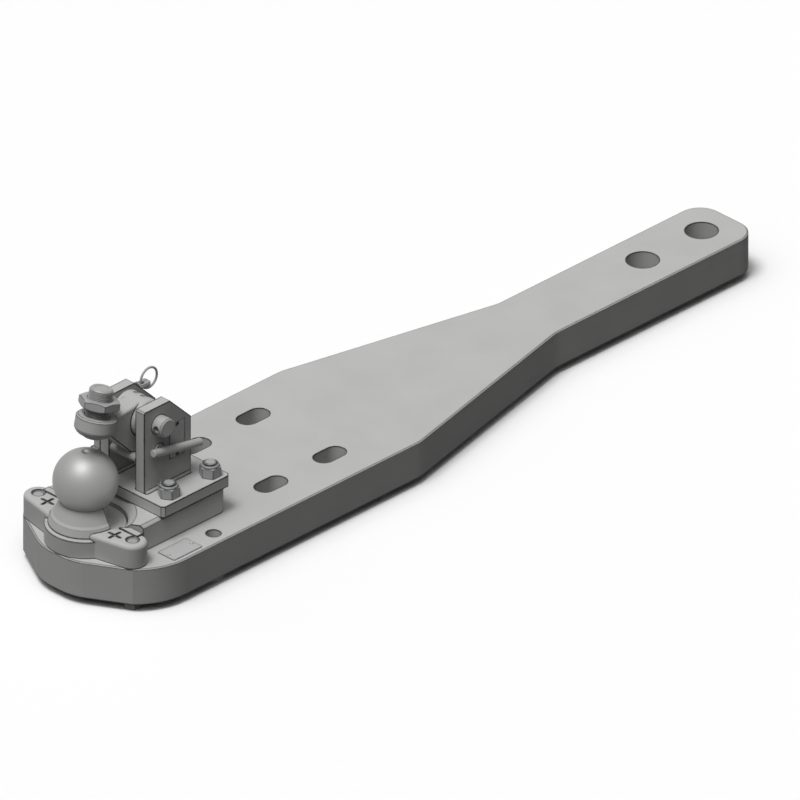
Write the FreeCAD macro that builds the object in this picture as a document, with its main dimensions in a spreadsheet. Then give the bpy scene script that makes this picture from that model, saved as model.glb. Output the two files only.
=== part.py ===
"""Hitch mounting plate: a drawbar plate with a flanged coupling ball and a swing-up hold-down.

Frame: the origin is the centre of the four mounting slots, on the underside of the plate.
+X runs along the plate to its narrow end, +Z is up, and the coupling ball is at the -X end.
All sizes are in millimetres and degrees.
"""
import FreeCAD
import Part
import Sketcher
import math
import os
import re

V = FreeCAD.Vector

# Driving sizes, one cell each
SIZES = {
    # Plate, cut from thick steel
    "plate_thickness": 50,
    "plate_width": 240,
    "plate_bevel": 1.5,
    "nose_ahead": 50,
    "nose_flat": 16,
    "nose_round_depth": 7,
    "nose_round_width": 78,
    "shoulder_setback": 50,
    "shoulder_radius": 87,
    "shoulder_turn": 46,
    "taper_start": 150,
    "taper_finish": 450,
    "taper_round": 55,
    "tongue_width": 100,
    "tongue_round": 30,
    "end_hole_reach": 747,
    "end_hole_spacing": 100,
    "end_hole_margin": 47.5,
    "end_hole_diameter": 40,
    "slot_length": 46,
    "slot_width": 26,
    "slot_spacing_long": 100,
    "slot_spacing_cross": 130,
    "side_hole_reach": 182.5,
    "side_hole_margin": 20,
    "side_hole_diameter": 18,
    # Fasteners
    "bolt_diameter": 16,
    "bolt_play": 1.5,
    "hex_flats": 24,
    "head_height": 10,
    "nut_height": 13,
    "nut_collar_diameter": 22,
    "nut_collar_height": 3.5,
    "nut_insert_diameter": 19,
    "bolt_tip": 2,
    "thread_gap": 0.05,
    "running_gap": 0.05,
    "seat_gap": 0.3,
    # Ball with its flange, one forging
    "ball_diameter": 80,
    "ball_reach": 300,
    "ball_height": 81,
    "ball_mouth_diameter": 10,
    "ball_centre_hole": 5,
    "ball_centre_depth": 9,
    "neck_diameter": 50,
    "neck_round": 9,
    "disc_diameter": 100,
    "disc_wall": 22.5,
    "disc_rim_width": 4.5,
    "disc_height": 24.5,
    "collar_foot_diameter": 90,
    "collar_foot_height": 26,
    "collar_shoulder_diameter": 84,
    "collar_shoulder_height": 34.7,
    "collar_edge_diameter": 78.2,
    "collar_edge_height": 37.8,
    "collar_slope": 26.5,
    "collar_core_diameter": 40,
    "collar_top": 59,
    "wing_bolt_spacing": 160,
    "wing_end_radius": 18,
    "wing_taper": 12,
    "wing_root": 38,
    "wing_inner": 38,
    "wing_cut": 60,
    "wing_blend": 9,
    "wing_sink": 0.4,
    "wing_height": 31,
    "wing_round": 5,
    "rib_ahead": 7.5,
    "rib_root": 49,
    "rib_inset": 0.5,
    "rib_height": 1.5,
    "mark_length": 20,
    "mark_width": 2.4,
    "mark_depth": 1.5,
    "mark_back": 7.5,
    "mark_reach": 57,
    # Spacer block and base plate under the hold-down
    "block_ahead": 68.8,
    "block_length": 150.3,
    "block_nose_width": 120,
    "block_nose_depth": 7.3,
    "block_width": 145,
    "block_height": 36,
    "block_round": 12,
    "block_bevel": 4,
    "dish_gap": 1,
    "dish_floor": 26,
    "dish_top_diameter": 123,
    "base_ahead": 32.5,
    "base_length": 115,
    "base_width": 154,
    "base_thickness": 15,
    "base_corner": 4,
    "base_bolt_ahead": 5.5,
    "base_bolt_spacing_long": 70,
    "base_bolt_spacing_cross": 120,
    # Cheeks with their stop bar, welds and lock bearing
    "clamp_setback": 87.5,
    "pivot_height": 87,
    "pivot_diameter": 25,
    "pivot_overhang": 15.5,
    "pivot_chamfer": 2,
    "cheek_ahead": 25,
    "cheek_length": 79,
    "cheek_above": 25,
    "cheek_thickness": 15,
    "cheek_spacing": 45,
    "cheek_slope": 35,
    "cheek_nick": 2,
    "weld_leg": 4,
    "stop_diameter": 10,
    "stop_ahead": 20,
    "stop_drop": 46,
    "lock_drop": 35,
    "lock_diameter": 16,
    "lock_half_moon": 43,
    "bearing_length": 50,
    "bearing_height": 42,
    "bearing_thickness": 12,
    # Hold-down arm
    "arm_reach": 71.8,
    "web_width": 26,
    "hub_diameter": 48,
    "hub_width": 40,
    "hub_eye_width": 44,
    "hub_eye_diameter": 40,
    "hub_groove_pitch": 12,
    "hub_groove_offset": 2.5,
    "hub_groove_depth": 3,
    "hub_groove_width": 5,
    "hub_groove_sweep": 92,
    "boss_diameter": 51,
    "boss_top": 8.5,
    "boss_side": 16,
    "boss_belly": 9,
    "boss_belly_radius": 12,
    "boss_foot_diameter": 32,
    "boss_round": 2,
    "chin_slope": 12,
    "arm_edge_round": 3,
    "lobe_gap": 0.6,
    "lobe_sweep": 24,
    # Pressure screw and its jam nut
    "screw_diameter": 30,
    "screw_above": 44.3,
    "screw_below": 19.5,
    "screw_chamfer": 3,
    "screw_foot": 4,
    "jam_flats": 45,
    "jam_height": 11,
    "jam_lift": 11,
    "jam_corner": 1.5,
    # Linch pin with its pull ring
    "cross_hole_inset": 8,
    "linch_diameter": 8,
    "linch_tip_ahead": 15.5,
    "linch_shoulder": 44.5,
    "linch_head_length": 19,
    "linch_head_diameter": 12,
    "linch_ear_thickness": 5,
    "ring_hole_inset": 11,
    "ring_hole_diameter": 6,
    "ring_diameter": 27,
    "ring_wire": 3,
    "ring_lean": 20,
    # Lock handle, its detent plate and the circlip
    "handle_diameter": 10,
    "handle_length": 83,
    "handle_short_end": 17.5,
    "handle_slope": 11,
    "handle_stand_off": 6.5,
    "shaft_proud": 2.5,
    "handle_end_round": 1.5,
    "detent_ahead": -17.5,
    "detent_length": 25,
    "detent_height": 49,
    "detent_drop": 56,
    "detent_thickness": 1,
    "detent_hole_inset": 4,
    "detent_screw_head": 5,
    "circlip_thickness": 1,
    "circlip_diameter": 23,
    "circlip_groove": 15,
    "circlip_setback": 2,
    # Bare type plate
    "label_setback": 61.25,
    "label_margin": 20.5,
    "label_length": 49,
    "label_width": 29,
    "label_thickness": 1,
    "label_pin_diameter": 5,
    "label_pin_height": 1.5,
    "label_pin_inset": 5,
}

# Places and angles worked out from the driving sizes
LAYOUT = {
    # The plate's nose, the clamp and the type plate all keep their distance from the ball
    "nose_reach": "ball_reach + nose_ahead",
    "shoulder_reach": "ball_reach - shoulder_setback",
    "pivot_reach": "ball_reach - clamp_setback",
    "label_reach": "ball_reach - label_setback",
    "side_hole_offset": "plate_width / 2 - side_hole_margin",
    "label_offset": "plate_width / 2 - label_margin",
    # The nose arc runs straight on from the flat in its middle
    "nose_rise": "(nose_round_width - nose_flat) / 2",
    "nose_round_radius": "(nose_rise ^ 2 + nose_round_depth ^ 2) / 2 / nose_round_depth",
    "base_floor": "plate_thickness + block_height",
    "base_top": "base_floor + base_thickness",
    "pivot_level": "base_top + pivot_height",
    "ball_level": "plate_thickness + ball_height",
    "lock_level": "pivot_level - lock_drop",
    "stop_level": "pivot_level - stop_drop",
    "cheek_face": "cheek_spacing / 2 + cheek_thickness",
    "pin_half": "cheek_face + pivot_overhang",
    "linch_offset": "pin_half - cross_hole_inset",
    "ball_radius": "ball_diameter / 2",
    "disc_radius": "disc_diameter / 2",
    "wing_middle": "wing_bolt_spacing / 2",
    "wing_side": "wing_middle * sin(wing_taper) + wing_end_radius",
    "bolt_hole": "bolt_diameter + bolt_play",
    "hex_radius": "hex_flats / 2 / cos(30)",
    "bolt_front": "-pivot_reach - base_bolt_ahead",
    "bolt_back": "bolt_front + base_bolt_spacing_long",
    "dish_radius": "disc_radius + dish_gap",
    "tongue_reach": "end_hole_reach + end_hole_margin",
    "neck_level": "ball_height - sqrt(ball_radius ^ 2 - neck_diameter ^ 2 / 4)",
    "mouth_level": "ball_height + sqrt(ball_radius ^ 2 - ball_mouth_diameter ^ 2 / 4)",
    # The boss axis aims at the centre of the ball, which sets how the arm leans
    "aim_run": "clamp_setback",
    "aim_rise": "pivot_level - ball_level",
    "aim_span": "sqrt(aim_run ^ 2 + aim_rise ^ 2)",
    "arm_tilt": "acos(arm_reach / aim_span) / (1 deg) - atan2(aim_rise; aim_run) / (1 deg)",
    # Lock shaft and stop bar, seen from the leaning arm
    "lock_radius": "lock_diameter / 2",
    "notch_radius": "lock_radius + seat_gap",
    "lobe_radius": "lock_drop - lobe_gap",
    "lock_back": "lock_drop * sin(arm_tilt)",
    "lock_down": "lock_drop * cos(arm_tilt)",
    "stop_down": "stop_ahead * sin(arm_tilt) + stop_drop * cos(arm_tilt)",
    "chin_level": "seat_gap + stop_diameter / 2 - stop_down",
    "chin_back": "lock_back - notch_radius",
    "lobe_half": "acos((lock_drop ^ 2 + lobe_radius ^ 2 - notch_radius ^ 2)"
                 " / (2 * lock_drop * lobe_radius)) / (1 deg)",
    "lobe_start": "arm_tilt - 90 + lobe_half",
    "lobe_end": "lobe_start + lobe_sweep",
    "hub_radius": "hub_diameter / 2",
    "boss_floor": "boss_top - boss_side - boss_belly",
    # Lock handle
    "handle_centre": "cheek_face + handle_stand_off",
    "bearing_face": "cheek_face + bearing_thickness",
    "shaft_end": "bearing_face + circlip_setback + circlip_thickness",
    "ring_hole_back": "linch_shoulder + linch_head_length - ring_hole_inset",
    "label_top": "plate_thickness + label_thickness",
}

doc = FreeCAD.newDocument("HitchMountingPlate")


def cells(name, entries, as_formula):
    """A sheet with one named cell per entry."""
    sheet = doc.addObject("Spreadsheet::Sheet", name)
    for row, (alias, content) in enumerate(entries.items(), start=1):
        sheet.set(f"A{row}", alias)
        sheet.set(f"B{row}", f"={bound(content)}" if as_formula else str(content))
        sheet.setAlias(f"B{row}", alias)
        if as_formula:
            doc.recompute()
    doc.recompute()
    return sheet


def bound(text):
    """The expression with each size's name pointed at its cell."""
    def cell(found):
        word = found.group()
        if word in SIZES:
            return f"Sizes.{word}"
        return f"Layout.{word}" if word in LAYOUT else word
    return re.sub(r"[a-z][a-z_]*[a-z]", cell, str(text))


sizes = cells("Sizes", SIZES, False)
layout = cells("Layout", LAYOUT, True)


def value(text):
    """The number that an expression over the sizes gives now."""
    return float(sizes.evalExpression(bound(text)))


def bind(thing, **properties):
    """Tie properties to expressions; a double underscore in a name stands for a dot."""
    for name, text in properties.items():
        thing.setExpression(name.replace("__", "."), bound(text))


def place(thing, x="0", y="0", z="0", axis=None, turn="0"):
    """Move a piece to (x, y, z), turned about an axis by an angle in degrees."""
    turning = FreeCAD.Rotation(axis or V(0, 0, 1), value(turn))
    thing.Placement = FreeCAD.Placement(V(value(x), value(y), value(z)), turning)
    bind(thing, Placement__Base__x=x, Placement__Base__y=y, Placement__Base__z=z)
    if turn != "0":
        thing.setExpression("Placement.Rotation.Angle", f"({bound(turn)}) * 1 deg")
    return thing


def new_body(label):
    body = doc.addObject("PartDesign::Body", label)
    body.Label = label
    return body


def sketch_on(body, plane, label, across="0", up="0", lift="0"):
    """A sketch on one of the body's own planes, with its origin moved by the given amounts."""
    sketch = body.newObject("Sketcher::SketchObject", label)
    face = next(item for item in body.Origin.OriginFeatures if item.Role == plane)
    sketch.AttachmentSupport = [(face, "")]
    sketch.MapMode = "FlatFace"
    sketch.AttachmentOffset = FreeCAD.Placement(
        V(value(across), value(up), value(lift)), FreeCAD.Rotation())
    bind(sketch, AttachmentOffset__Base__x=across, AttachmentOffset__Base__y=up,
         AttachmentOffset__Base__z=lift)
    return sketch


def pin_down(sketch, kind, shape, vertex, text):
    """Fix one coordinate, radius or diameter of a sketch element to an expression."""
    name = f"{kind}_{shape}_{vertex}"
    if kind in ("DistanceX", "DistanceY"):
        rule = Sketcher.Constraint(kind, -1, 1, shape, vertex, value(text))
    else:
        rule = Sketcher.Constraint(kind, shape, value(text))
    index = sketch.addConstraint(rule)
    sketch.renameConstraint(index, name)
    sketch.setExpression(f".Constraints.{name}", bound(text))


def side_arc(first, last, radius, outward):
    """The short arc from first to last, bulging to the right of the way or to its left."""
    chord = last - first
    middle = (first + last) * 0.5
    left = V(-chord.y, chord.x, 0).normalize()
    depth = math.sqrt(radius ** 2 - (chord.Length / 2) ** 2)
    centre = middle + left * (depth if outward else -depth)
    ends = (first, last) if outward else (last, first)
    angles = [math.atan2(end.y - centre.y, end.x - centre.x) for end in ends]
    return Part.ArcOfCircle(Part.Circle(centre, V(0, 0, 1), radius), *angles)


def outline(sketch, corners):
    """Closed outline, anticlockwise. A corner is (across, up), or (across, up, "out" or "in",
    radius) where the side that leaves it is an arc."""
    points = [V(value(corner[0]), value(corner[1]), 0) for corner in corners]
    ends = []
    for index, corner in enumerate(corners):
        first, last = points[index], points[(index + 1) % len(points)]
        if len(corner) == 2:
            sketch.addGeometry(Part.LineSegment(first, last))
            ends.append((1, 2))
        else:
            outward = corner[2] == "out"
            sketch.addGeometry(side_arc(first, last, value(corner[3]), outward))
            ends.append((1, 2) if outward else (2, 1))
    for index, corner in enumerate(corners):
        start, finish = ends[index - 1][1], ends[index][0]
        before = (index - 1) % len(corners)
        sketch.addConstraint(Sketcher.Constraint("Coincident", before, start, index, finish))
        pin_down(sketch, "DistanceX", index, finish, corner[0])
        pin_down(sketch, "DistanceY", index, finish, corner[1])
        if len(corner) > 2:
            pin_down(sketch, "Radius", index, 0, corner[3])
    return sketch


def rounds(sketch, diameter, centres):
    """Circles of one diameter at the given centres."""
    for index, (across, up) in enumerate(centres):
        middle = V(value(across), value(up), 0)
        sketch.addGeometry(Part.Circle(middle, V(0, 0, 1), value(diameter) / 2))
        pin_down(sketch, "DistanceX", index, 3, across)
        pin_down(sketch, "DistanceY", index, 3, up)
        pin_down(sketch, "Diameter", index, 0, diameter)
    return sketch


def feature(body, kind, sketch, label, **properties):
    made = body.newObject(f"PartDesign::{kind}", label)
    made.Profile = sketch
    bind(made, **properties)
    return made


def pad(body, sketch, label, length, middle=False, down=False):
    made = feature(body, "Pad", sketch, label, Length=length)
    made.SideType = "Symmetric" if middle else "One side"
    made.Reversed = down
    return made


def pocket(body, sketch, label, depth=None, middle=False, up=False):
    """A cut along the sketch's normal, downwards unless told otherwise."""
    made = feature(body, "Pocket", sketch, label)
    made.Reversed = up
    if middle:
        made.SideType = "Symmetric"
    if depth is None:
        made.Type = "ThroughAll"
    else:
        bind(made, Length=depth)
    return made


def revolve(body, sketch, label, kind="Revolution"):
    """Turn a half profile once round the sketch's upright axis."""
    made = feature(body, kind, sketch, label)
    made.ReferenceAxis = (sketch, ["V_Axis"])
    made.Angle = 360
    return made


def turned(label, profile):
    """A piece turned about its own Z axis from a half profile of (radius, height)."""
    body = new_body(label)
    revolve(body, outline(sketch_on(body, "XZ_Plane", label + "_profile"), profile),
            label + "_turning")
    return body


def edges_where(shape, test):
    """Names of the edges whose middle and box pass a test."""
    names = []
    for index, edge in enumerate(shape.Edges, start=1):
        middle = edge.valueAt((edge.FirstParameter + edge.LastParameter) / 2)
        if test(edge, middle):
            names.append(f"Edge{index}")
    return names


def dress(body, base, kind, label, size, test):
    """Fillet or chamfer the edges of a feature that pass a test."""
    doc.recompute()
    made = body.newObject(f"PartDesign::{kind}", label)
    made.Base = (base, edges_where(base.Shape, test))
    bind(made, **{"Radius" if kind == "Fillet" else "Size": size})
    return made


def near(one, other, slack=0.01):
    return abs(one - other) < slack


def level_edge(edge, height):
    """Whether an edge lies flat at a height."""
    box = edge.BoundBox
    return near(box.ZMin, height) and near(box.ZMax, height)


def straight_along(edge):
    """Whether an edge is straight and runs along the piece, not across it."""
    return edge.Curve.TypeId == "Part::GeomLine" and edge.BoundBox.YLength < 0.01


def upright_edge(edge):
    box = edge.BoundBox
    return box.ZLength > 1 and box.XLength < 0.01 and box.YLength < 0.01


def hexagon(label, flats, height):
    prism = doc.addObject("Part::Prism", label)
    prism.Polygon = 6
    bind(prism, Circumradius=f"({flats}) / 2 / cos(30)", Height=height)
    return prism


def cylinder(label, diameter, height):
    solid = doc.addObject("Part::Cylinder", label)
    bind(solid, Radius=f"({diameter}) / 2", Height=height)
    return solid


def box(label, length, width, height):
    solid = doc.addObject("Part::Box", label)
    bind(solid, Length=length, Width=width, Height=height)
    return solid


def cut(label, base, tool):
    made = doc.addObject("Part::Cut", label)
    made.Base, made.Tool = base, tool
    made.Label = label
    return made


def fuse(label, *pieces):
    made = doc.addObject("Part::MultiFuse", label)
    made.Shapes = list(pieces)
    made.Label = label
    return made


def group(label, pieces):
    """Loose like pieces that share one node."""
    made = doc.addObject("Part::Compound", label)
    made.Links = pieces
    made.Label = label
    return made


ALONG_Y = V(1, 0, 0)      # turning about X by -90 lays a Z axis along +Y
BASE_BOLTS = [(x, f"{side} * base_bolt_spacing_cross / 2")
              for x in ("bolt_front", "bolt_back") for side in (-1, 1)]


def drawbar_plate():
    """Thick plate: blunt round nose, shoulders, straight taper and a narrow drilled tongue."""
    body = new_body("drawbar_plate")
    half, tongue = "plate_width / 2", "tongue_width / 2"
    neck_x = "-nose_reach + nose_round_depth"
    shoulder_x = "-shoulder_reach - shoulder_radius * sin(shoulder_turn)"
    shoulder_y = "plate_width / 2 - shoulder_radius * (1 - cos(shoulder_turn))"
    corners = [
        ("-nose_reach", "nose_flat / 2"),
        ("-nose_reach", "-nose_flat / 2", "out", "nose_round_radius"),
        (neck_x, "-nose_round_width / 2"),
        (shoulder_x, f"-({shoulder_y})", "out", "shoulder_radius"),
        ("-shoulder_reach", f"-{half}"),
        ("taper_start", f"-{half}"),
        ("taper_finish", f"-{tongue}"),
        ("tongue_reach", f"-{tongue}"),
        ("tongue_reach", tongue),
        ("taper_finish", tongue),
        ("taper_start", half),
        ("-shoulder_reach", half, "out", "shoulder_radius"),
        (shoulder_x, shoulder_y),
        (neck_x, "nose_round_width / 2", "out", "nose_round_radius"),
    ]
    slab = pad(body, outline(sketch_on(body, "XY_Plane", "plate_outline"), corners),
               "plate_slab", "plate_thickness")
    taper_x = [value("taper_start"), value("taper_finish")]
    slab = dress(body, slab, "Fillet", "taper_rounds", "taper_round",
                 lambda edge, at: upright_edge(edge) and any(near(at.x, x) for x in taper_x))
    end_x = value("tongue_reach")
    slab = dress(body, slab, "Fillet", "tongue_rounds", "tongue_round",
                 lambda edge, at: upright_edge(edge) and near(at.x, end_x))
    top = value("plate_thickness")
    dress(body, slab, "Chamfer", "plate_edge_bevel", "plate_bevel",
          lambda edge, at: level_edge(edge, top) or level_edge(edge, 0))
    slots = sketch_on(body, "XY_Plane", "slot_outline", "-slot_spacing_long / 2",
                      "-slot_spacing_cross / 2")
    flat, radius = "(slot_length - slot_width) / 2", "slot_width / 2"
    slot = pocket(body, outline(slots, [
        (f"-{flat}", f"-{radius}"),
        (flat, f"-{radius}", "out", radius),
        (f"{flat} + {radius}", "0", "out", radius),
        (flat, radius),
        (f"-{flat}", radius, "out", radius),
        (f"-({flat} + {radius})", "0", "out", radius),
    ]), "slot", "plate_thickness", up=True)
    rows = body.newObject("PartDesign::MultiTransform", "slot_pattern")
    rows.Originals = [slot]
    steps = []
    for axis, length in (("H_Axis", "slot_spacing_long"), ("V_Axis", "slot_spacing_cross")):
        step = body.newObject("PartDesign::LinearPattern", "slot_row_" + axis[0].lower())
        step.Direction = (slots, [axis])
        step.Occurrences = 2
        bind(step, Length=length)
        steps.append(step)
    rows.Transformations = steps
    body.Tip = rows
    pocket(body, rounds(sketch_on(body, "XY_Plane", "end_hole_centres"), "end_hole_diameter",
                        [("end_hole_reach", "0"), ("end_hole_reach - end_hole_spacing", "0")]),
           "end_holes", "plate_thickness", up=True)
    pocket(body, rounds(sketch_on(body, "XY_Plane", "side_hole_centres"), "side_hole_diameter",
                        [("-side_hole_reach", f"{side} * side_hole_offset")
                         for side in (-1, 1)]),
           "side_holes", "plate_thickness", up=True)
    wings = [("-ball_reach", f"{side} * wing_middle") for side in (-1, 1)]
    pocket(body, rounds(sketch_on(body, "XY_Plane", "bolt_hole_centres"), "bolt_hole",
                        wings + BASE_BOLTS), "bolt_holes", "plate_thickness", up=True)
    return body


def wing_outline(body, label, radius):
    """Both wings in one outline, straight behind; in front, hollow arcs lead the tapered sides
    into a round of the given radius."""
    run = f"({radius} + wing_blend - wing_sink)"
    side = "(wing_side + wing_blend)"
    along = f"sqrt({run} ^ 2 - {side} ^ 2)"
    blend_x = f"({side} * cos(wing_taper) - {along} * sin(wing_taper))"
    blend_y = f"({side} * sin(wing_taper) + {along} * cos(wing_taper))"
    share = f"(1 - wing_blend / {run})"
    side_x = f"-({blend_x} - wing_blend * cos(wing_taper))"
    side_y = f"{blend_y} - wing_blend * sin(wing_taper)"
    end_x = "-wing_end_radius * cos(wing_taper)"
    end_y = "wing_middle + wing_end_radius * sin(wing_taper)"
    return outline(sketch_on(body, "XY_Plane", label), [
        ("wing_end_radius", "wing_cut"),
        ("wing_end_radius", "wing_middle", "out", "wing_end_radius"),
        (end_x, end_y),
        (side_x, side_y, "in", "wing_blend"),
        (f"-{blend_x} * {share}", f"{blend_y} * {share}"),
        (f"-{blend_x} * {share}", f"-{blend_y} * {share}", "in", "wing_blend"),
        (side_x, f"-({side_y})"),
        (end_x, f"-({end_y})", "out", "wing_end_radius"),
        ("wing_end_radius", "-wing_middle"),
        ("wing_end_radius", "-wing_cut"),
        ("-wing_sink", "-wing_inner"),
        ("-wing_sink", "wing_inner"),
    ])


def ball_flange():
    """Ball and neck on a disc with two bolting wings and a half collar in front, one forging."""
    body = new_body("ball_flange")
    wings = pad(body, wing_outline(body, "wing_outline", "wing_root"), "wings", "wing_height")
    crown = value("wing_height")
    dress(body, wings, "Fillet", "wing_edges", "wing_round",
          lambda edge, at: level_edge(edge, crown) and abs(at.y) > value("wing_inner") + 0.1)
    pad(body, wing_outline(body, "wing_foot_outline", "disc_radius"), "wing_foot",
        "disc_wall - 0.5")
    rear = "wing_end_radius - rib_inset"
    for side in (-1, 1):
        name = "left" if side > 0 else "right"
        rib = [("rib_ahead", "rib_root"), (rear, "wing_cut"), (rear, "wing_middle"),
               ("rib_ahead", "wing_middle")]
        if side < 0:
            rib = [(x, f"-{y}") for x, y in reversed(rib)]
        pad(body, outline(sketch_on(body, "XY_Plane", f"rib_outline_{name}"), rib),
            f"wing_rib_{name}", "wing_height + rib_height")
        half, thin = "mark_length / 2", "mark_width / 2"
        cross = outline(sketch_on(body, "XY_Plane", f"mark_outline_{name}", "-mark_back",
                                  f"{side} * mark_reach", "wing_height - mark_depth"), [
            (f"-{thin}", f"-{half}"), (thin, f"-{half}"), (thin, f"-{thin}"),
            (half, f"-{thin}"), (half, thin), (thin, thin),
            (thin, half), (f"-{thin}", half), (f"-{thin}", thin),
            (f"-{half}", thin), (f"-{half}", f"-{thin}"), (f"-{thin}", f"-{thin}"),
        ])
        pocket(body, cross, f"wing_mark_{name}", "mark_depth", up=True)
    neck = "neck_diameter / 2"
    profile = [
        ("0", "0"),
        ("disc_radius", "0"),
        ("disc_radius", "disc_wall"),
        ("disc_radius - disc_rim_width", "disc_height"),
        (f"{neck} + neck_round", "disc_height", "in", "neck_round"),
        (neck, "disc_height + neck_round"),
        (neck, "neck_level", "out", "ball_radius"),
        ("ball_radius", "ball_height", "out", "ball_radius"),
        ("ball_mouth_diameter / 2", "mouth_level"),
        ("ball_centre_hole / 2", "mouth_level - (ball_mouth_diameter - ball_centre_hole) / 2"),
        ("ball_centre_hole / 2", "mouth_level - ball_centre_depth"),
        ("0", "mouth_level - ball_centre_depth"),
    ]
    revolve(body, outline(sketch_on(body, "XZ_Plane", "ball_profile"), profile), "ball_turning")
    collar = revolve(body, outline(sketch_on(body, "YZ_Plane", "collar_profile"), [
        ("collar_core_diameter / 2", "disc_wall / 2"),
        ("collar_foot_diameter / 2", "disc_wall / 2"),
        ("collar_foot_diameter / 2", "collar_foot_height"),
        ("collar_shoulder_diameter / 2", "collar_shoulder_height"),
        ("collar_edge_diameter / 2", "collar_edge_height"),
        ("collar_edge_diameter / 2 - (collar_top - collar_edge_height) * tan(collar_slope)",
         "collar_top"),
        ("collar_core_diameter / 2", "collar_top"),
    ]), "half_collar")
    collar.Angle = 180
    pocket(body, rounds(sketch_on(body, "XY_Plane", "wing_holes"), "bolt_diameter",
                        [("0", f"{side} * wing_middle") for side in (-1, 1)]),
           "wing_threads", "wing_height + rib_height", up=True)
    return place(body, "-ball_reach", "0", "plate_thickness")


def hex_bolt(label, x, y, length):
    """Bolt pushed up from below: its head bears on the underside of the plate."""
    head = hexagon(label + "_head", "hex_flats", "head_height")
    place(head, x, y, "-head_height")
    shank = cylinder(label + "_shank", "bolt_diameter - 2 * thread_gap", length)
    place(shank, x, y, "0")
    return fuse(label, head, shank)


def flange_bolts():
    length = "plate_thickness + wing_height - bolt_tip"
    return group("flange_bolts", [
        hex_bolt(f"flange_bolt_{side}", "-ball_reach", f"{sign} * wing_middle", length)
        for side, sign in (("right", -1), ("left", 1))])


def base_bolts():
    length = "base_top + nut_height + nut_collar_height + bolt_tip"
    return group("base_bolts", [hex_bolt(f"base_bolt_{count}", x, y, length)
                                for count, (x, y) in enumerate(BASE_BOLTS, start=1)])


def lock_nut(label, x, y):
    """Hexagon with its corners turned off and a round collar that holds the locking ring."""
    prism = hexagon(label + "_hexagon", "hex_flats", "nut_height")
    crown = doc.addObject("Part::Cone", label + "_crown")
    bind(crown, Radius1="hex_radius + nut_height * 1.2", Radius2="hex_flats / 2 - 0.5",
         Height="nut_height")
    trimmed = doc.addObject("Part::Common", label + "_trimmed")
    trimmed.Base, trimmed.Tool = prism, crown
    collar = doc.addObject("Part::Cone", label + "_collar")
    bind(collar, Radius1="nut_collar_diameter / 2", Radius2="nut_insert_diameter / 2 + 0.5",
         Height="nut_collar_height")
    place(collar, z="nut_height")
    bore = cylinder(label + "_bore", "bolt_diameter", "nut_height + nut_collar_height")
    seat = cylinder(label + "_seat", "nut_insert_diameter", "nut_collar_height")
    place(seat, z="nut_height")
    body = fuse(label + "_body", trimmed, collar)
    hollow = fuse(label + "_hollow", bore, seat)
    return place(cut(label, body, hollow), x, y, "base_top")


def base_nuts():
    return group("base_nuts", [lock_nut(f"base_nut_{count}", x, y)
                               for count, (x, y) in enumerate(BASE_BOLTS, start=1)])


def nut_inserts():
    """Plastic locking rings in the collars of the nuts."""
    rings = []
    for count, (x, y) in enumerate(BASE_BOLTS, start=1):
        outer = cylinder(f"insert_{count}_outer", "nut_insert_diameter", "nut_collar_height")
        inner = cylinder(f"insert_{count}_inner", "bolt_diameter", "nut_collar_height")
        rings.append(place(cut(f"nut_insert_{count}", outer, inner), x, y,
                           "base_top + nut_height"))
    return group("nut_inserts", rings)


def spacer_block():
    """Block between plate and base plate, hollowed round the ball's flange."""
    body = new_body("spacer_block")
    front, back = "-pivot_reach - block_ahead", "block_length - pivot_reach - block_ahead"
    slab = pad(body, outline(sketch_on(body, "XY_Plane", "block_outline"), [
        (front, "-block_nose_width / 2"),
        (f"{front} + block_nose_depth", "-block_width / 2"),
        (back, "-block_width / 2"),
        (back, "block_width / 2"),
        (f"{front} + block_nose_depth", "block_width / 2"),
        (front, "block_nose_width / 2"),
    ]), "block_slab", "block_height")
    back_x, top = value(back), value("block_height")
    slab = dress(body, slab, "Fillet", "block_rounds", "block_round",
                 lambda edge, at: upright_edge(edge) and near(at.x, back_x))
    nose_x = value(f"{front} + block_nose_depth")
    dress(body, slab, "Chamfer", "block_edge", "block_bevel",
          lambda edge, at: level_edge(edge, top) and at.x > nose_x)
    pocket(body, rounds(sketch_on(body, "XY_Plane", "dish_centre"), "2 * dish_radius",
                        [("-ball_reach", "0")]), "dish", "block_height", up=True)
    revolve(body, outline(sketch_on(body, "XZ_Plane", "dish_slope_profile", "-ball_reach"), [
        ("0", "dish_floor"),
        ("dish_radius", "dish_floor"),
        ("dish_top_diameter / 2", "block_height"),
        ("0", "block_height"),
    ]), "dish_slope", "Groove")
    pocket(body, rounds(sketch_on(body, "XY_Plane", "block_bolts"), "bolt_hole", BASE_BOLTS),
           "block_bolt_holes", "block_height", up=True)
    return place(body, z="plate_thickness")


def base_plate():
    """Plate that the cheeks are welded to."""
    body = new_body("base_plate")
    front, back = "-pivot_reach - base_ahead", "base_length - pivot_reach - base_ahead"
    slab = pad(body, outline(sketch_on(body, "XY_Plane", "base_outline"), [
        (front, "-base_width / 2"),
        (back, "-base_width / 2"),
        (back, "base_width / 2"),
        (front, "base_width / 2"),
    ]), "base_slab", "base_thickness")
    dress(body, slab, "Chamfer", "base_corners", "base_corner",
          lambda edge, at: upright_edge(edge))
    pocket(body, rounds(sketch_on(body, "XY_Plane", "base_bolt_centres"), "bolt_hole",
                        BASE_BOLTS), "base_bolt_holes", "base_thickness", up=True)
    return place(body, z="base_floor")


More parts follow.
